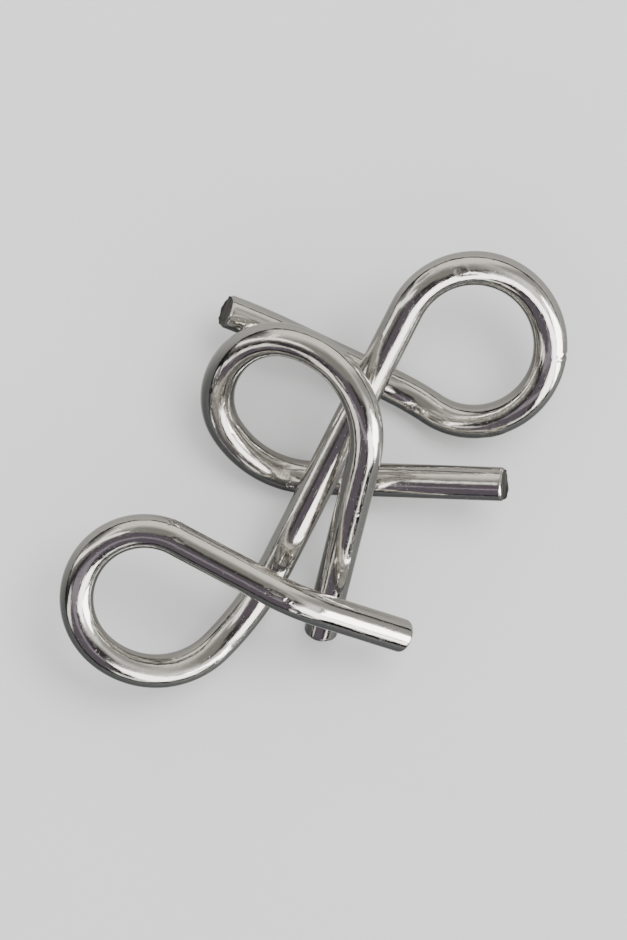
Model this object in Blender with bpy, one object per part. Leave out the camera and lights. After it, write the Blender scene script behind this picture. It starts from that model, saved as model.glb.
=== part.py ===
"""Disentanglement puzzle made of two pieces of bent round wire, linked through one loop.

Each piece is described the way a wire bender makes it: straight feeds and bends, laid out on a
plane, with the height that the wire has reached at the end of each step. The wire climbs as it
goes round a loop, so that it passes over itself with a gap that the other wire fits through.
Metres, +Z up. The puzzle lies on its side on the plane Z = 0.
"""

from collections import namedtuple
import math

import bpy
from mathutils import Matrix, Vector

MM = 0.001

# Driving dimensions
WIRE_DIAMETER = 3.0 * MM
END_CHAMFER = 0.25 * MM
POINT_SPACING = 1.5 * MM
SECTION_RESOLUTION = 6          # 4 + 2 * 6 = 16 sides round the wire

# How the linked pair lies at rest, as turns about X and Y
REST_PITCH = -5.7
REST_ROLL = -2.2

# A step of the bending sheet. A turn to the left is positive, lengths are in plan, in mm.
Feed = namedtuple("Feed", "length height")
Bend = namedtuple("Bend", "radius turn height")
Piece = namedtuple("Piece", "start heading height steps")

# The larger piece: tail, loop, straight shaft, opposite loop, tail.
DOUBLE_LOOP = Piece(
    start=(7.9, -14.6),
    heading=162,
    height=-3.2,
    steps=(
        Feed(7.6, 1.6),
        Bend(28.0, -10, 3.3),
        Feed(9.3, 4.2),
        Bend(6.0, 164, -0.6),
        Bend(7.4, 89, -4.2),
        Bend(30.0, 18, -2.5),
        Feed(24.6, 5.3),
        Bend(6.7, -181, -0.4),
        Bend(6.6, -96, -4.7),
        Bend(28.0, 9, -4.4),
        Feed(10.0, -1.07),
        Bend(65.0, 5, 0.82),
    ),
)

# The smaller piece: tail, loop round the other piece's shaft, leg.
SINGLE_LOOP = Piece(
    start=(16.7, -1.2),
    heading=178,
    height=-1.0,
    steps=(
        Feed(17.0, -5.0),
        Bend(9.2, -55, -2.0),
        Bend(5.1, -135, 6.4),
        Bend(8.7, -92, 4.6),
        Feed(15.5, -6.6),
    ),
)

SHAFT_STEP = 6                  # which of DOUBLE_LOOP's steps is the straight shaft

NICKEL = (0.78, 0.76, 0.72, 1.0)
NICKEL_ROUGHNESS = 0.12


def plan_length(step):
    """Length of one step's wire, seen from above."""
    if isinstance(step, Feed):
        return step.length
    return step.radius * math.radians(abs(step.turn))


def plan_point(piece, distance):
    """Where the wire is, seen from above, a distance along it from its first end."""
    x, y = piece.start
    heading = math.radians(piece.heading)
    for step in piece.steps:
        along = min(distance, plan_length(step))
        if isinstance(step, Feed):
            x += along * math.cos(heading)
            y += along * math.sin(heading)
        else:
            side = math.copysign(1.0, step.turn)
            turned = heading + side * along / step.radius
            x += side * step.radius * (math.sin(turned) - math.sin(heading))
            y -= side * step.radius * (math.cos(turned) - math.cos(heading))
            heading = turned
        distance -= along
        if distance <= 0:
            break
    return x, y


def stations(piece):
    """(distance, height) at the first end and at the end of every step."""
    marks = [(0.0, piece.height)]
    for step in piece.steps:
        marks.append((marks[-1][0] + plan_length(step), step.height))
    return marks


def slopes(piece, marks):
    """Climb per mm at each station. A feed is straight, so the climb at its ends is its own."""
    climbs = [
        (b[1] - a[1]) / (b[0] - a[0])
        for a, b in zip(marks, marks[1:])
    ]
    found = [climbs[0]]
    for i in range(1, len(climbs)):
        before, after = climbs[i - 1], climbs[i]
        if isinstance(piece.steps[i - 1], Feed):
            found.append(before)
        elif isinstance(piece.steps[i], Feed):
            found.append(after)
        else:
            found.append((before + after) / 2)
    return [*found, climbs[-1]]


def height_at(marks, climbs, distance):
    """Height of the wire, as a smooth curve through the stations."""
    for i in range(len(marks) - 1):
        (near, low), (far, high) = marks[i], marks[i + 1]
        if distance <= far or i == len(marks) - 2:
            break
    span = far - near
    t = (distance - near) / span
    return (
        (2 * t**3 - 3 * t**2 + 1) * low
        + (t**3 - 2 * t**2 + t) * span * climbs[i]
        + (3 * t**2 - 2 * t**3) * high
        + (t**3 - t**2) * span * climbs[i + 1]
    )


def rest_turn():
    """Turn that lays the linked pair on the plane it rests on."""
    pitch = Matrix.Rotation(math.radians(REST_PITCH), 3, "X")
    roll = Matrix.Rotation(math.radians(REST_ROLL), 3, "Y")
    return roll @ pitch


def wire_places(piece, distances):
    """Points in the middle of the wire, in metres, the pair turned as it rests."""
    marks = stations(piece)
    climbs = slopes(piece, marks)
    turn = rest_turn()
    return [
        turn @ (Vector((*plan_point(piece, s), height_at(marks, climbs, s))) * MM)
        for s in distances
    ]


def centreline(piece):
    """The whole wire's middle, with one more point where each end's chamfer starts."""
    total = stations(piece)[-1][0]
    chamfer = END_CHAMFER / MM
    count = round(total * MM / POINT_SPACING)
    inner = [total * i / count for i in range(1, count)]
    return wire_places(piece, [0.0, chamfer, *inner, total - chamfer, total])


def reach(points):
    """Lowest and highest corner of the round wire along these points."""
    corners = []
    for before, place, after in zip([points[0], *points], points, [*points[1:], points[-1]]):
        along = (after - before).normalized()
        for side in (-1, 1):
            corners.append([
                place[k] + side * WIRE_DIAMETER / 2 * math.sqrt(1 - along[k] ** 2)
                for k in range(3)
            ])
    return [min(c) for c in zip(*corners)], [max(c) for c in zip(*corners)]


def to_origin(points):
    """Shift that puts the bottom centre of these wires' box at the origin."""
    low, high = reach(points)
    return Vector((-(low[0] + high[0]) / 2, -(low[1] + high[1]) / 2, -low[2]))


def shaft_middle():
    """Middle of the double loop's straight shaft, which the single loop swings round."""
    marks = stations(DOUBLE_LOOP)
    middle = (marks[SHAFT_STEP][0] + marks[SHAFT_STEP + 1][0]) / 2
    return wire_places(DOUBLE_LOOP, [middle])[0]


def nickel_material(name):
    """Polished nickel plate."""
    material = bpy.data.materials.new(name)
    material.use_nodes = True
    shader = material.node_tree.nodes["Principled BSDF"]
    shader.inputs["Base Color"].default_value = NICKEL
    shader.inputs["Metallic"].default_value = 1.0
    shader.inputs["Roughness"].default_value = NICKEL_ROUGHNESS
    return material


def wire_object(name, points, origin, shift, collection):
    """Round wire along the points, with chamfered square-cut ends, and its own origin."""
    curve = bpy.data.curves.new(name, "CURVE")
    curve.dimensions = "3D"
    curve.bevel_depth = WIRE_DIAMETER / 2
    curve.bevel_resolution = SECTION_RESOLUTION
    curve.use_fill_caps = True
    spline = curve.splines.new("POLY")
    spline.points.add(len(points) - 1)
    for spot, place in zip(spline.points, points):
        spot.co = (*(place - origin), 1.0)
    end_share = 1 - 2 * END_CHAMFER / WIRE_DIAMETER
    spline.points[0].radius = end_share
    spline.points[-1].radius = end_share
    curve.materials.append(nickel_material(name + "_nickel"))
    wire = bpy.data.objects.new(name, curve)
    wire.location = origin + shift
    collection.objects.link(wire)
    return wire


def clear_scene():
    for thing in list(bpy.data.objects):
        bpy.data.objects.remove(thing, do_unlink=True)


def build():
    clear_scene()
    collection = bpy.data.collections.new("bent_wire_puzzle")
    bpy.context.scene.collection.children.link(collection)
    double_loop = centreline(DOUBLE_LOOP)
    single_loop = centreline(SINGLE_LOOP)
    shift = to_origin(double_loop + single_loop)
    wire_object("double_loop_wire", double_loop, Vector(), shift, collection)
    wire_object("single_loop_wire", single_loop, shaft_middle(), shift, collection)


build()
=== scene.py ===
"""Looks of the bent-wire puzzle: two polished nickel-plated wires lying on a pale floor.

The wires follow the same bending sheets as the CAD solids. Here each is a fine mesh with the
marks that bending tools and shears leave, and a plated surface that is scratched a little.
"""

from collections import namedtuple
import math

import bpy
from mathutils import Matrix, Vector, noise


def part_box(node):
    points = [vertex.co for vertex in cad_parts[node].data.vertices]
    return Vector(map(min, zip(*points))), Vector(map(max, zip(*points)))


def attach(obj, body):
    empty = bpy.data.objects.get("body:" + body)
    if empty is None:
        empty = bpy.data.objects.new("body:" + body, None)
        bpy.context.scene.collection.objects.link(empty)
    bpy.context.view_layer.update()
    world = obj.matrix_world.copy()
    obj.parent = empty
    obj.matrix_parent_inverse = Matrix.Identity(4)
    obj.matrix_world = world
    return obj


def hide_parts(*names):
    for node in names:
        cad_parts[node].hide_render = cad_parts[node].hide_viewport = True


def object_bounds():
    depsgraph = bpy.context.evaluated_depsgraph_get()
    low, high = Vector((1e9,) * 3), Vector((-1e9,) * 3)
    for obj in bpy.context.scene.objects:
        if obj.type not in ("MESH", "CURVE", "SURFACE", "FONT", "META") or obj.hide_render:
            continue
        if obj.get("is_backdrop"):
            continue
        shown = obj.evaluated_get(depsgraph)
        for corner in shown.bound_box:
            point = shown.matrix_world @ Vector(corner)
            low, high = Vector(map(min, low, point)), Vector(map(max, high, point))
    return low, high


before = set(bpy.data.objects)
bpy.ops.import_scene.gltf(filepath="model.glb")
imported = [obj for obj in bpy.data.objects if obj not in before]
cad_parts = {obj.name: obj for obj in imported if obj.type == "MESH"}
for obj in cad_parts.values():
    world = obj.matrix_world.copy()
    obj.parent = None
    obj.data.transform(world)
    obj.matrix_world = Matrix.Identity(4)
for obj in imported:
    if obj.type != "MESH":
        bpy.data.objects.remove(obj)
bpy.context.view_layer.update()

MM = 0.001

# ---------------------------------------------------------------- the bending sheets

WIRE_RADIUS = 1.5               # mm, like every length below
REST_PITCH = -5.7               # degrees about X, then about Y
REST_ROLL = -2.2

Feed = namedtuple("Feed", "length height")
Bend = namedtuple("Bend", "radius turn height")
Piece = namedtuple("Piece", "start heading height steps")

DOUBLE_LOOP = Piece(
    start=(7.9, -14.6),
    heading=162,
    height=-3.2,
    steps=(
        Feed(7.6, 1.6),
        Bend(28.0, -10, 3.3),
        Feed(9.3, 4.2),
        Bend(6.0, 164, -0.6),
        Bend(7.4, 89, -4.2),
        Bend(30.0, 18, -2.5),
        Feed(24.6, 5.3),
        Bend(6.7, -181, -0.4),
        Bend(6.6, -96, -4.7),
        Bend(28.0, 9, -4.4),
        Feed(10.0, -1.07),
        Bend(65.0, 5, 0.82),
    ),
)

SINGLE_LOOP = Piece(
    start=(16.7, -1.2),
    heading=178,
    height=-1.0,
    steps=(
        Feed(17.0, -5.0),
        Bend(9.2, -55, -2.0),
        Bend(5.1, -135, 6.4),
        Bend(8.7, -92, 4.6),
        Feed(15.5, -6.6),
    ),
)

REST_TURN = (
    Matrix.Rotation(math.radians(REST_ROLL), 3, "Y")
    @ Matrix.Rotation(math.radians(REST_PITCH), 3, "X")
)


def plan_length(step):
    if isinstance(step, Feed):
        return step.length
    return step.radius * math.radians(abs(step.turn))


def plan_point(piece, distance):
    """Where the wire is, seen from above, a distance along it from its first end."""
    x, y = piece.start
    heading = math.radians(piece.heading)
    for step in piece.steps:
        along = min(distance, plan_length(step))
        if isinstance(step, Feed):
            x += along * math.cos(heading)
            y += along * math.sin(heading)
        else:
            side = math.copysign(1.0, step.turn)
            turned = heading + side * along / step.radius
            x += side * step.radius * (math.sin(turned) - math.sin(heading))
            y -= side * step.radius * (math.cos(turned) - math.cos(heading))
            heading = turned
        distance -= along
        if distance <= 0:
            break
    return x, y


def stations(piece):
    """(distance, height) at the first end and at the end of every step."""
    marks = [(0.0, piece.height)]
    for step in piece.steps:
        marks.append((marks[-1][0] + plan_length(step), step.height))
    return marks


def slopes(piece, marks):
    """Climb per mm at each station. A feed is straight, so the climb at its ends is its own."""
    climbs = [(b[1] - a[1]) / (b[0] - a[0]) for a, b in zip(marks, marks[1:])]
    found = [climbs[0]]
    for i in range(1, len(climbs)):
        before, after = climbs[i - 1], climbs[i]
        if isinstance(piece.steps[i - 1], Feed):
            found.append(before)
        elif isinstance(piece.steps[i], Feed):
            found.append(after)
        else:
            found.append((before + after) / 2)
    return [*found, climbs[-1]]


def height_at(marks, climbs, distance):
    """Height of the wire, as a smooth curve through the stations."""
    for i in range(len(marks) - 1):
        (near, low), (far, high) = marks[i], marks[i + 1]
        if distance <= far or i == len(marks) - 2:
            break
    span = far - near
    t = (distance - near) / span
    return (
        (2 * t**3 - 3 * t**2 + 1) * low
        + (t**3 - 2 * t**2 + t) * span * climbs[i]
        + (3 * t**2 - 2 * t**3) * high
        + (t**3 - t**2) * span * climbs[i + 1]
    )


def wire_places(piece, distances):
    """Points in the middle of the wire in mm, the pair turned as it rests."""
    marks = stations(piece)
    climbs = slopes(piece, marks)
    return [
        REST_TURN @ Vector((*plan_point(piece, s), height_at(marks, climbs, s)))
        for s in distances
    ]


# ---------------------------------------------------------------- wire meshes

AROUND = 96                     # sides round the wire
STEP_ALONG = 0.3
STEP_AT_MARK = 0.08
CLOSEST_RINGS = 0.04

EDGE_BREAK = 0.16               # the rounded rim of a cut end, and where it starts to fade in
EDGE_FADE = 0.07
EDGE_RINGS = (0.0, 0.05, 0.10, 0.15, 0.20, 0.26)
EDGE_ROUGHNESS = 0.03
END_RINGS = 12                  # rings across a cut end
END_SEED = 31                   # between the seeds of a wire's two ends
BURR_HEIGHT = 0.17

WAVE_HEIGHT = 0.012             # long unevenness of the drawn wire
RIPPLE_HEIGHT = 0.0025          # short unevenness of the plate

# A mark that a bending tool left: where along the wire, where round it (degrees from its
# left side, 90 on top), half-lengths along and round, and how deep it is pressed.
Mark = namedtuple("Mark", "along around length width depth")

# In half-lengths from the middle of a mark
MARK_REACH = 2.5
MARK_FLOOR = 0.8
MARK_LIP = 1.3
MARK_LIP_WIDTH = 0.3
MARK_LIP_SHARE = 0.3            # of the mark's depth


def smooth(edge0, edge1, x):
    t = min(max((x - edge0) / (edge1 - edge0), 0.0), 1.0)
    return t * t * (3 - 2 * t)


def mark_amount(marks, s, angle):
    """(depth, scuff) that the tool marks add at this place on the wire."""
    depth = 0.0
    scuff = 0.0
    for mark in marks:
        away = (math.degrees(angle) - mark.around + 180) % 360 - 180
        round_mm = math.radians(away) * WIRE_RADIUS
        r = math.hypot((s - mark.along) / mark.length, round_mm / mark.width)
        if r < MARK_REACH:
            r *= 1 + 0.35 * noise.noise((s * 5.0, round_mm * 7.0, mark.along))
            pressed = math.exp(-((r / MARK_FLOOR) ** 4))
            raised = math.exp(-(((r - MARK_LIP) / MARK_LIP_WIDTH) ** 2))
            depth += mark.depth * (pressed - MARK_LIP_SHARE * raised)
            scuff = max(scuff, 1 - smooth(0.6, 1.1, r))
    return depth, scuff


def ring_places(total, tool_marks):
    """Distances of the mesh's rings along the wire, closer together at the ends and at marks."""
    edge = EDGE_RINGS[-1]
    count = round((total - 2 * edge) / STEP_ALONG)
    places = {*EDGE_RINGS, *[total - s for s in EDGE_RINGS]}
    places.update(edge + (total - 2 * edge) * i / count for i in range(1, count))
    for mark in tool_marks:
        count = math.ceil(4 * mark.length / STEP_AT_MARK)
        near = [mark.along + 2 * mark.length * (2 * i / count - 1) for i in range(count + 1)]
        places.update(s for s in near if edge < s < total - edge)
    kept = []
    for s in sorted(places):
        if not kept or s - kept[-1] > CLOSEST_RINGS:
            kept.append(s)
    return kept


def ring_frames(points):
    """Side and top direction across the wire at each point. Top leans towards the viewer."""
    view_up = REST_TURN @ Vector((0, 0, 1))
    frames = []
    for i, place in enumerate(points):
        before = points[max(i - 1, 0)]
        after = points[min(i + 1, len(points) - 1)]
        along = (after - before).normalized()
        side = view_up.cross(along).normalized()
        frames.append((along, side, along.cross(side)))
    return frames


def burr(angle, seed):
    """How far the torn lip of a sheared end stands out, strongest where the blade left."""
    ragged = 0.6 + 0.7 * noise.noise((2.5 * math.cos(angle), 2.5 * math.sin(angle), seed))
    lower_side = smooth(0.1, 0.9, -math.sin(angle - 0.5))
    corners = smooth(0.75, 1.0, abs(math.cos(angle)))
    return BURR_HEIGHT * ragged * max(lower_side, 0.8 * corners)


def cut_height(x, y, seed):
    """Relief of a sheared end: a burnished half, a step, and a torn half."""
    torn = smooth(-0.15, 0.25, y + 0.3 * noise.noise((x * 1.3, 0.0, seed)))
    fine = noise.fractal((x * 3.1, y * 3.1, seed), 1.0, 2.1, 4)
    drag = noise.noise((x * 7.0, y * 0.8, seed + 5.0))
    return 0.035 * torn * fine + 0.012 * drag * (1 - torn) - 0.03 * torn


class WireMesh:
    """Vertices of one wire, each with its place along and across the wire and its scuffing."""

    def __init__(self, piece, tool_marks, seed):
        self.total = stations(piece)[-1][0]
        self.tool_marks = tool_marks
        self.seed = seed
        self.places = ring_places(self.total, tool_marks)
        self.points = wire_places(piece, self.places)
        self.frames = ring_frames(self.points)
        self.verts = []
        self.coords = []
        self.scuffs = []
        self.side_faces = []
        self.cut_faces = []

    def add_vertex(self, ring, s, x, y, scuff=0.0):
        """A vertex x to the side and y towards the top, s along the wire."""
        along, side, top = self.frames[ring]
        place = self.points[ring] + side * x + top * y + along * (s - self.places[ring])
        self.verts.append(place * MM)
        self.coords.append((s, x, y))
        self.scuffs.append(scuff)
        return len(self.verts) - 1

    def add_ring(self, ring):
        s = self.places[ring]
        drop = EDGE_BREAK - min(s, self.total - s)
        rounding = 0.0
        if drop > -EDGE_FADE:
            t = smooth(-EDGE_FADE, EDGE_BREAK, drop)
            rounding = EDGE_BREAK * (0.35 * t + 0.65 * t * t)
        outwards = -1 if s < self.total / 2 else 1
        for k in range(AROUND):
            angle = 2 * math.pi * k / AROUND
            c, d = math.cos(angle), math.sin(angle)
            wave = noise.noise((s * 0.22, c * 0.7, d * 0.7 + self.seed)) * WAVE_HEIGHT
            ripple = noise.noise((s * 1.4, c * 2.0, d * 2.0 + self.seed)) * RIPPLE_HEIGHT
            depth, scuff = mark_amount(self.tool_marks, s, angle)
            r = WIRE_RADIUS + wave + ripple - depth
            lip = 0.0
            if rounding > 0:
                rough = noise.noise((s * 3, c * 3.0, d * 3.0 + self.seed))
                r -= rounding + EDGE_ROUGHNESS * rough * rounding / EDGE_BREAK
                risen = smooth(0.3, 1.0, drop / EDGE_BREAK)
                lip = outwards * burr(angle, self.seed + outwards) * risen
            self.add_vertex(ring, s + lip, r * c, r * d, scuff)

    def close_end(self, ring, outwards, seed):
        """Rings of a sheared end, down to a point in its middle."""
        rim_radius = WIRE_RADIUS - EDGE_BREAK
        previous = [ring * AROUND + k for k in range(AROUND)]
        for j in range(1, END_RINGS):
            share = 1 - j / END_RINGS
            current = []
            for k in range(AROUND):
                angle = 2 * math.pi * k / AROUND
                x = rim_radius * share * math.cos(angle)
                y = rim_radius * share * math.sin(angle)
                lift = cut_height(x, y, seed) * smooth(0.0, 0.12, 1 - share)
                current.append(self.add_vertex(ring, self.places[ring] + outwards * lift, x, y))
            for k in range(AROUND):
                n = (k + 1) % AROUND
                self.add_cut_face((previous[k], previous[n], current[n], current[k]), outwards)
            previous = current
        lift = cut_height(0.0, 0.0, seed)
        middle = self.add_vertex(ring, self.places[ring] + outwards * lift, 0.0, 0.0)
        for k in range(AROUND):
            n = (k + 1) % AROUND
            self.add_cut_face((previous[k], previous[n], middle), outwards)

    def add_cut_face(self, face, outwards):
        self.cut_faces.append(face if outwards > 0 else tuple(reversed(face)))

    def build(self):
        last = len(self.places) - 1
        for ring in range(last + 1):
            self.add_ring(ring)
        for ring in range(last):
            for k in range(AROUND):
                a = ring * AROUND + k
                b = ring * AROUND + (k + 1) % AROUND
                self.side_faces.append((a + AROUND, b + AROUND, b, a))
        self.close_end(0, -1, self.seed)
        self.close_end(last, 1, self.seed + END_SEED)

    def to_mesh(self, name):
        mesh = bpy.data.meshes.new(name)
        mesh.from_pydata(self.verts, [], self.side_faces + self.cut_faces)
        mesh.validate()
        for polygon in mesh.polygons:
            polygon.use_smooth = True
            polygon.material_index = 1 if polygon.index >= len(self.side_faces) else 0
        wire_coord = mesh.attributes.new("wire_coord", "FLOAT_VECTOR", "POINT")
        wire_coord.data.foreach_set("vector", [v for c in self.coords for v in c])
        scuff_layer = mesh.attributes.new("scuff", "FLOAT", "POINT")
        scuff_layer.data.foreach_set("value", self.scuffs)
        mesh.update()
        return mesh


def centre_shift():
    """From the sheets' own place to the frame: where the CAD nodes' box is."""
    low = Vector(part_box("double_loop_wire")[0])
    high = Vector(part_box("double_loop_wire")[1])
    total = stations(DOUBLE_LOOP)[-1][0]
    points = wire_places(DOUBLE_LOOP, [0.25 * i for i in range(int(4 * total))])
    mine_low = Vector([min(p[k] for p in points) for k in range(3)]) * MM
    mine_high = Vector([max(p[k] for p in points) for k in range(3)]) * MM
    return (low + high) / 2 - (mine_low + mine_high) / 2


# ---------------------------------------------------------------- materials

# Noise: octaves, roughness, and how many grains there are to the mm along each axis. On a wire
# the axes are along it, to its side and towards its top.
Grain = namedtuple("Grain", "detail roughness density")

DRAW_LINES = Grain(5.0, 0.6, (0.05, 5.0, 5.0))
FINE_DRAW_LINES = Grain(3.0, 0.6, (0.25, 16.0, 16.0))
PEEL = Grain(2.0, 0.5, (0.9, 1.3, 1.3))
CLOUDS = Grain(4.0, 0.6, (0.16, 0.5, 0.5))
PITS = Grain(2.0, 0.4, (7.0, 9.0, 9.0))
LONG_SCRATCHES = Grain(2.0, 0.4, (0.9, 26.0, 26.0))
CROSS_SCRATCHES = Grain(2.0, 0.4, (24.0, 1.1, 1.1))
TORN_GRAIN = Grain(5.0, 0.65, (1.0, 7.0, 7.0))
DRAG_LINES = Grain(3.0, 0.6, (1.0, 22.0, 1.6))
FLOOR_MOTTLE = Grain(3.0, 0.55, (60.0, 60.0, 60.0))     # to the metre

NICKEL_BRIGHT = (0.80, 0.78, 0.745)
NICKEL_CLOUDED = (0.735, 0.72, 0.70)
PIT_COLOUR = (0.16, 0.13, 0.11)
SCUFF_COLOUR = (0.30, 0.27, 0.25)
STEEL_DARK = (0.035, 0.034, 0.034)
STEEL_BRIGHT = (0.20, 0.19, 0.175)

FLOOR_LOW = (0.72, 0.725, 0.73)
FLOOR_HIGH = (0.76, 0.76, 0.76)
# Painted reflection: floor colours, much darker than the floor, that only glossy rays see, so that the
# metal shows dark rims.
PAINTED_FLOOR_REFLECTION_NEAR = (0.045, 0.050, 0.053)
PAINTED_FLOOR_REFLECTION_BELOW = (0.30, 0.30, 0.29)
PAINTED_FLOOR_REFLECTION_FAR = (0.24, 0.235, 0.22)


def link(tree, a, b):
    tree.links.new(a, b)


def noise_at(tree, vector, grain):
    mapped = tree.nodes.new("ShaderNodeMapping")
    mapped.inputs["Scale"].default_value = grain.density
    link(tree, vector, mapped.inputs["Vector"])
    made = tree.nodes.new("ShaderNodeTexNoise")
    made.inputs["Scale"].default_value = 1.0
    made.inputs["Detail"].default_value = grain.detail
    made.inputs["Roughness"].default_value = grain.roughness
    link(tree, mapped.outputs["Vector"], made.inputs["Vector"])
    return made.outputs["Fac"]


def mask_above(tree, source, low, high):
    """0 where the source is below low, 1 where it is above high."""
    made = tree.nodes.new("ShaderNodeValToRGB")
    start, end = made.color_ramp.elements
    start.position = low
    start.color = (0.0, 0.0, 0.0, 1.0)
    end.position = high
    end.color = (1.0, 1.0, 1.0, 1.0)
    link(tree, source, made.inputs["Fac"])
    return made.outputs["Color"]


def maths(tree, operation, a, b=None):
    made = tree.nodes.new("ShaderNodeMath")
    made.operation = operation
    for socket, value in zip(made.inputs, (a, b)):
        if value is None:
            continue
        if isinstance(value, (int, float)):
            socket.default_value = value
        else:
            link(tree, value, socket)
    return made.outputs[0]


def weighted_sum(tree, parts, base=0.0):
    total = base
    for value, weight in parts:
        total = maths(tree, "ADD", total, maths(tree, "MULTIPLY", value, weight))
    return total


def mix_colour(tree, factor, a, b):
    made = tree.nodes.new("ShaderNodeMix")
    made.data_type = "RGBA"
    for socket, value in ((made.inputs[0], factor), (made.inputs[6], a), (made.inputs[7], b)):
        if isinstance(value, tuple):
            socket.default_value = (*value, 1.0)
        else:
            link(tree, value, socket)
    return made.outputs[2]


def dot(tree, vector, direction):
    made = tree.nodes.new("ShaderNodeVectorMath")
    made.operation = "DOT_PRODUCT"
    link(tree, vector, made.inputs[0])
    made.inputs[1].default_value = direction
    return made.outputs["Value"]


def step_down(tree, value, edge, soft):
    """1 below the edge and 0 above it, softly."""
    made = tree.nodes.new("ShaderNodeMapRange")
    made.interpolation_type = "SMOOTHSTEP"
    link(tree, value, made.inputs["Value"])
    made.inputs["From Min"].default_value = edge - soft
    made.inputs["From Max"].default_value = edge + soft
    made.inputs["To Min"].default_value = 1.0
    made.inputs["To Max"].default_value = 0.0
    return made.outputs["Result"]


def new_material(name):
    material = bpy.data.materials.new(name)
    material.use_nodes = True
    return material, material.node_tree, material.node_tree.nodes["Principled BSDF"]


def mesh_attribute(tree, name, output):
    made = tree.nodes.new("ShaderNodeAttribute")
    made.attribute_name = name
    return made.outputs[output]


def add_relief(tree, shader, relief):
    """Bump from a height in mm."""
    bump = tree.nodes.new("ShaderNodeBump")
    bump.inputs["Strength"].default_value = 1.0
    bump.inputs["Distance"].default_value = MM
    link(tree, relief, bump.inputs["Height"])
    link(tree, bump.outputs["Normal"], shader.inputs["Normal"])


def nickel_plate():
    """Bright nickel over drawn steel wire: draw lines under the plate, fine scratches over it."""
    material, tree, shader = new_material("nickel_plate")
    coord = mesh_attribute(tree, "wire_coord", "Vector")
    scuffed = mesh_attribute(tree, "scuff", "Fac")
    draw = noise_at(tree, coord, DRAW_LINES)
    fine_draw = noise_at(tree, coord, FINE_DRAW_LINES)
    peel = noise_at(tree, coord, PEEL)
    cloud = noise_at(tree, coord, CLOUDS)
    pits = mask_above(tree, noise_at(tree, coord, PITS), 0.70, 0.76)
    long_scratches = mask_above(tree, noise_at(tree, coord, LONG_SCRATCHES), 0.63, 0.70)
    cross_scratches = mask_above(tree, noise_at(tree, coord, CROSS_SCRATCHES), 0.68, 0.74)

    tint = mix_colour(tree, cloud, NICKEL_BRIGHT, NICKEL_CLOUDED)
    tint = mix_colour(tree, maths(tree, "MULTIPLY", pits, 0.45), tint, PIT_COLOUR)
    tint = mix_colour(tree, maths(tree, "MULTIPLY", scuffed, 0.55), tint, SCUFF_COLOUR)
    link(tree, tint, shader.inputs["Base Color"])
    shader.inputs["Metallic"].default_value = 1.0

    rough = weighted_sum(tree, (
        (cloud, 0.04),
        (fine_draw, 0.05),
        (long_scratches, 0.10),
        (pits, 0.25),
        (scuffed, 0.22),
    ), base=0.01)
    link(tree, rough, shader.inputs["Roughness"])

    relief = weighted_sum(tree, (
        (draw, 0.006),
        (fine_draw, 0.0014),
        (peel, 0.012),
        (long_scratches, -0.0012),
        (cross_scratches, -0.0010),
        (pits, -0.004),
    ))
    add_relief(tree, shader, relief)
    return material


def sheared_steel():
    """Bare steel of a sheared end, with drag lines over a torn grain."""
    material, tree, shader = new_material("sheared_steel")
    coord = mesh_attribute(tree, "wire_coord", "Vector")
    grain = noise_at(tree, coord, TORN_GRAIN)
    drag = noise_at(tree, coord, DRAG_LINES)
    link(tree, mix_colour(tree, grain, STEEL_DARK, STEEL_BRIGHT), shader.inputs["Base Color"])
    shader.inputs["Metallic"].default_value = 1.0
    link(tree, weighted_sum(tree, ((grain, 0.25),), base=0.22), shader.inputs["Roughness"])
    add_relief(tree, shader, weighted_sum(tree, ((grain, 0.02), (drag, 0.012))))
    return material


def painted_floor_reflection(tree):
    """Painted reflection: the darker colour the metal mirrors the floor in, by the way its rays come
    back up.
    """
    incoming = tree.nodes.new("ShaderNodeNewGeometry").outputs["Incoming"]
    # Painted reflection: darkest where the metal mirrors the floor towards the bottom of the view,
    # lighter towards the top, lighter still straight below.
    away_from_wall = dot(tree, incoming, REST_TURN @ Vector((0.2, 1, 0)).normalized())
    colour = mix_colour(tree, step_down(tree, away_from_wall, 0.0, 0.7),
                        PAINTED_FLOOR_REFLECTION_NEAR, PAINTED_FLOOR_REFLECTION_FAR)
    straight_up = dot(tree, incoming, (0, 0, 1))
    return mix_colour(tree, step_down(tree, straight_up, 0.86, 0.06),
                      PAINTED_FLOOR_REFLECTION_BELOW, colour)


def floor_material():
    """Pale matte floor. The metal mirrors it in a painted darker colour, a painted reflection that
    keeps the wires' edges clear.
    """
    material, tree, shader = new_material("pale_floor")
    place = tree.nodes.new("ShaderNodeTexCoord")
    rays = tree.nodes.new("ShaderNodeLightPath")
    mottle = noise_at(tree, place.outputs["Object"], FLOOR_MOTTLE)
    tint = mix_colour(tree, mottle, FLOOR_LOW, FLOOR_HIGH)
    # Glossy rays see the painted reflection colour, not the floor's own colour.
    tint = mix_colour(tree, rays.outputs["Is Glossy Ray"], tint, painted_floor_reflection(tree))
    link(tree, tint, shader.inputs["Base Color"])
    shader.inputs["Roughness"].default_value = 0.75
    return material


# ---------------------------------------------------------------- the two wires

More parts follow.
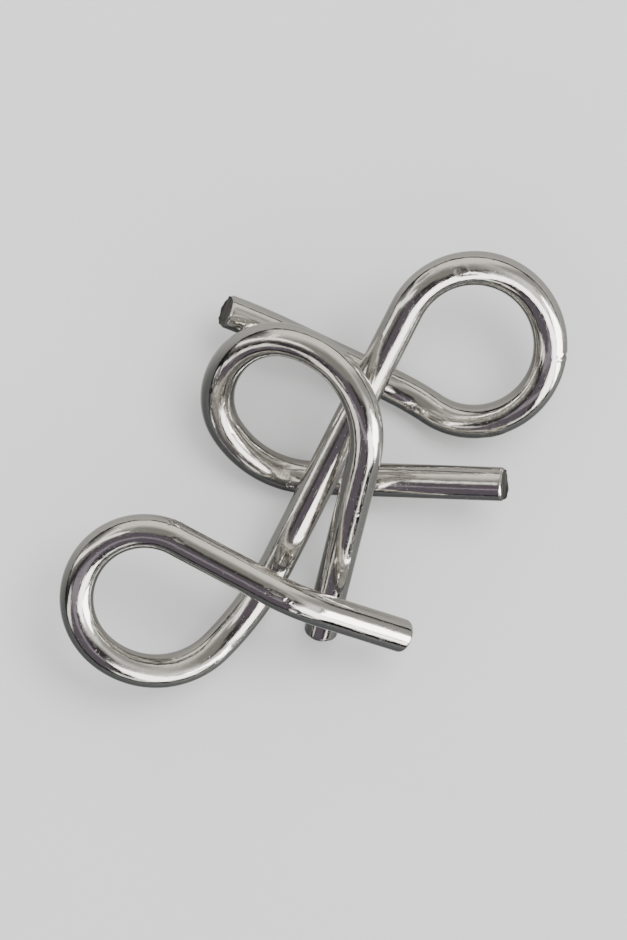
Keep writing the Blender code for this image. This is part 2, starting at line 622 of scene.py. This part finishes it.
DOUBLE_LOOP_MARKS = (
    Mark(along=10.1, around=55, length=0.40, width=0.15, depth=0.07),
    Mark(along=11.1, around=80, length=0.22, width=0.16, depth=0.07),
    Mark(along=12.0, around=86, length=0.75, width=0.13, depth=0.09),
    Mark(along=12.7, around=68, length=0.30, width=0.12, depth=0.06),
    Mark(along=21.7, around=90, length=0.55, width=0.11, depth=0.09),
    Mark(along=22.2, around=172, length=0.20, width=0.40, depth=0.13),
    Mark(along=22.8, around=140, length=0.12, width=0.40, depth=0.03),
    Mark(along=57.3, around=138, length=0.35, width=0.30, depth=0.08),
    Mark(along=72.8, around=120, length=0.80, width=0.10, depth=0.05),
    Mark(along=90.2, around=97, length=0.50, width=0.35, depth=0.05),
    Mark(along=90.9, around=112, length=1.30, width=0.10, depth=0.05),
    Mark(along=87.5, around=62, length=0.90, width=0.10, depth=0.05),
    Mark(along=103.0, around=8, length=0.22, width=1.00, depth=0.12),
    Mark(along=104.0, around=20, length=1.00, width=0.18, depth=0.06),
    Mark(along=111.1, around=24, length=0.60, width=0.45, depth=0.10),
    Mark(along=117.7, around=57, length=0.45, width=0.25, depth=0.08),
    Mark(along=118.6, around=48, length=0.30, width=0.20, depth=0.06),
    Mark(along=132.9, around=72, length=0.70, width=0.06, depth=0.03),
)
SINGLE_LOOP_MARKS = (
    Mark(along=8.5, around=122, length=0.90, width=0.06, depth=0.02),
    Mark(along=18.8, around=50, length=0.22, width=0.22, depth=0.09),
    Mark(along=31.5, around=80, length=1.10, width=0.09, depth=0.03),
    Mark(along=44.0, around=118, length=1.40, width=0.08, depth=0.03),
    Mark(along=55.6, around=64, length=0.15, width=0.10, depth=0.03),
    Mark(along=57.9, around=57, length=0.30, width=0.07, depth=0.022),
    Mark(along=59.4, around=60, length=0.14, width=0.09, depth=0.025),
)


def add_wire(name, piece, tool_marks, seed, body, cad_node, materials, shift):
    wire_mesh = WireMesh(piece, tool_marks, seed)
    wire_mesh.build()
    mesh = wire_mesh.to_mesh(name)
    for material in materials:
        mesh.materials.append(material)
    wire = bpy.data.objects.new(name, mesh)
    wire.location = shift
    bpy.context.scene.collection.objects.link(wire)
    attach(wire, body)
    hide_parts(cad_node)
    return wire


def build_wires():
    materials = (nickel_plate(), sheared_steel())
    shift = centre_shift()
    add_wire("double_loop_bent_wire", DOUBLE_LOOP, DOUBLE_LOOP_MARKS, 3.0,
             "double_loop", "double_loop_wire", materials, shift)
    add_wire("single_loop_bent_wire", SINGLE_LOOP, SINGLE_LOOP_MARKS, 47.0,
             "single_loop", "single_loop_wire", materials, shift)


# ---------------------------------------------------------------- studio

# A panel that only the metal mirrors. Azimuth goes round the view from its right-hand side and
# elevation rises towards the camera, both in degrees, like the half-widths and the soft edge.
Panel = namedtuple("Panel", "azimuth elevation wide tall soft colour")

PANELS = (
    # broad warm wall beyond the top of the view
    Panel(80, 8, 50, 46, 10, (1.12, 1.08, 0.99)),
    # mid-grey wall to the right
    Panel(5, 24, 26, 22, 8, (0.40, 0.39, 0.365)),
    # plum-grey cloth below, with a lighter fold
    Panel(250, 38, 20, 36, 5, (0.130, 0.112, 0.134)),
    Panel(250, 44, 20, 4, 2, (0.34, 0.305, 0.35)),
    # lit door frame at the lower left, white sill below
    Panel(220, 15, 6, 18, 3, (1.5, 1.46, 1.36)),
    Panel(-84, 3, 11, 7, 3, (1.7, 1.67, 1.58)),
    # dark gap at the upper left, with a lit strip above it
    Panel(146, 12, 14, 16, 8, (0.13, 0.132, 0.135)),
    Panel(152, 44, 12, 4, 2, (1.7, 1.65, 1.55)),
    # bright sill low on the right
    Panel(2, 3, 16, 5, 2, (1.7, 1.67, 1.6)),
    # white card and tall lit strip on the left
    Panel(164, 0, 6, 12, 2, (1.5, 1.47, 1.38)),
    Panel(176, 28, 6, 38, 2, (1.95, 1.9, 1.8)),
    # the camera and its stand
    Panel(-75, 74, 7, 9, 3, (0.05, 0.047, 0.044)),
    # halo, black frame and core of the main softbox, low on the right
    Panel(-31, 24, 26, 24, 7, (1.25, 1.22, 1.16)),
    Panel(-27, 12, 19, 21, 2, (0.10, 0.10, 0.10)),
    Panel(-27, 12, 16, 18, 2, (9.0, 8.9, 8.6)),
    # second, weaker softbox further round
    Panel(-60, 26, 12, 19, 2, (4.5, 4.4, 4.2)),
)

OVERHEAD = (0.27, 0.262, 0.24)
LOWER_DARK = (0.045, 0.041, 0.045)
LOWER_DARK_EDGE = -0.22         # sine of the angle above the middle of the view
LOWER_DARK_SOFT = 0.14
SKIRTING = (0.008, 0.008, 0.009)
SKIRTING_HEIGHT = 8.0           # degrees above the floor
SKIRTING_SOFT = 0.4             # of its height
FLOOR_LIGHT = (1.45, 1.45, 1.45)
SOFTBOX_BRIGHTNESS = 2          # panels at least this bright stand in front of the skirting
FLOOR_HALF_WIDTH = 1.5          # m
SOFTBOX_SIZE = (0.35, 0.25)     # m
SOFTBOX_DISTANCE = 0.6
SOFTBOX_DIRECTION = (0.35, 0.45, 1.0)
SOFTBOX_POWER = 2.6             # W
CAMERA_DISTANCE = 0.80          # m
SEEN_WIDTH = 0.055              # m, across the view at the puzzle
SENSOR_WIDTH = 24.0


def view_direction(azimuth, elevation):
    a, e = math.radians(azimuth), math.radians(elevation)
    return Vector((math.cos(e) * math.cos(a), math.cos(e) * math.sin(a), math.sin(e)))


def panel_mask(tree, looking, panel):
    centre = view_direction(panel.azimuth, panel.elevation)
    across = view_direction(panel.azimuth + 90, 0)
    upwards = centre.cross(across)
    soft = math.sin(math.radians(panel.soft))
    mask = maths(tree, "GREATER_THAN", dot(tree, looking, REST_TURN @ centre), 0.0)
    for axis, half in ((across, panel.wide), (upwards, panel.tall)):
        away = maths(tree, "ABSOLUTE", dot(tree, looking, REST_TURN @ axis))
        mask = maths(tree, "MULTIPLY", mask,
                     step_down(tree, away, math.sin(math.radians(half)), soft))
    return mask


def studio_sky(tree, looking):
    """What the metal mirrors above the floor."""
    up_the_view = dot(tree, looking, REST_TURN @ Vector((0, 1, 0)))
    lower = step_down(tree, up_the_view, LOWER_DARK_EDGE, LOWER_DARK_SOFT)
    sky = mix_colour(tree, lower, OVERHEAD, LOWER_DARK)
    walls = [panel for panel in PANELS if max(panel.colour) < SOFTBOX_BRIGHTNESS]
    softboxes = [panel for panel in PANELS if max(panel.colour) >= SOFTBOX_BRIGHTNESS]
    for panel in walls:
        sky = mix_colour(tree, panel_mask(tree, looking, panel), sky, panel.colour)
    above_floor = dot(tree, looking, (0, 0, 1))
    height = math.sin(math.radians(SKIRTING_HEIGHT))
    sky = mix_colour(tree, step_down(tree, above_floor, height, SKIRTING_SOFT * height), sky, SKIRTING)
    for panel in softboxes:
        sky = mix_colour(tree, panel_mask(tree, looking, panel), sky, panel.colour)
    return sky


def build_world():
    world = bpy.data.worlds.new("studio")
    bpy.context.scene.world = world
    world.use_nodes = True
    tree = world.node_tree
    background = tree.nodes["Background"]
    place = tree.nodes.new("ShaderNodeTexCoord")
    rays = tree.nodes.new("ShaderNodeLightPath")
    sky = studio_sky(tree, place.outputs["Generated"])
    sky = mix_colour(tree, rays.outputs["Is Glossy Ray"], FLOOR_LIGHT, sky)
    link(tree, sky, background.inputs["Color"])


def build_floor():
    mesh = bpy.data.meshes.new("floor")
    half = FLOOR_HALF_WIDTH
    mesh.from_pydata(
        [(-half, -half, 0), (half, -half, 0), (half, half, 0), (-half, half, 0)],
        [], [(0, 1, 2, 3)],
    )
    mesh.materials.append(floor_material())
    floor = bpy.data.objects.new("floor", mesh)
    bpy.context.scene.collection.objects.link(floor)
    floor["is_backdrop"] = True


def build_lights():
    """Overhead softbox for the shadows on the floor. The metal does not mirror it."""
    data = bpy.data.lights.new("overhead_softbox", "AREA")
    data.shape = "RECTANGLE"
    data.size, data.size_y = SOFTBOX_SIZE
    data.energy = SOFTBOX_POWER
    lamp = bpy.data.objects.new("overhead_softbox", data)
    towards = Vector(SOFTBOX_DIRECTION).normalized()
    lamp.location = towards * SOFTBOX_DISTANCE
    lamp.rotation_euler = towards.to_track_quat("Z", "Y").to_euler()
    lamp.visible_glossy = False
    bpy.context.scene.collection.objects.link(lamp)


def build_camera():
    """Square on to the bending plane."""
    low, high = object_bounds()
    middle = (Vector(low) + Vector(high)) / 2
    data = bpy.data.cameras.new("camera")
    data.sensor_fit = "HORIZONTAL"
    data.sensor_width = SENSOR_WIDTH
    data.lens = SENSOR_WIDTH * CAMERA_DISTANCE / SEEN_WIDTH
    data.clip_start = 0.01
    camera = bpy.data.objects.new("camera", data)
    camera.matrix_world = Matrix.Translation(
        middle + REST_TURN @ Vector((0, 0, CAMERA_DISTANCE))
    ) @ REST_TURN.to_4x4()
    bpy.context.scene.collection.objects.link(camera)
    bpy.context.scene.camera = camera


build_wires()
build_floor()
build_world()
build_lights()
build_camera()
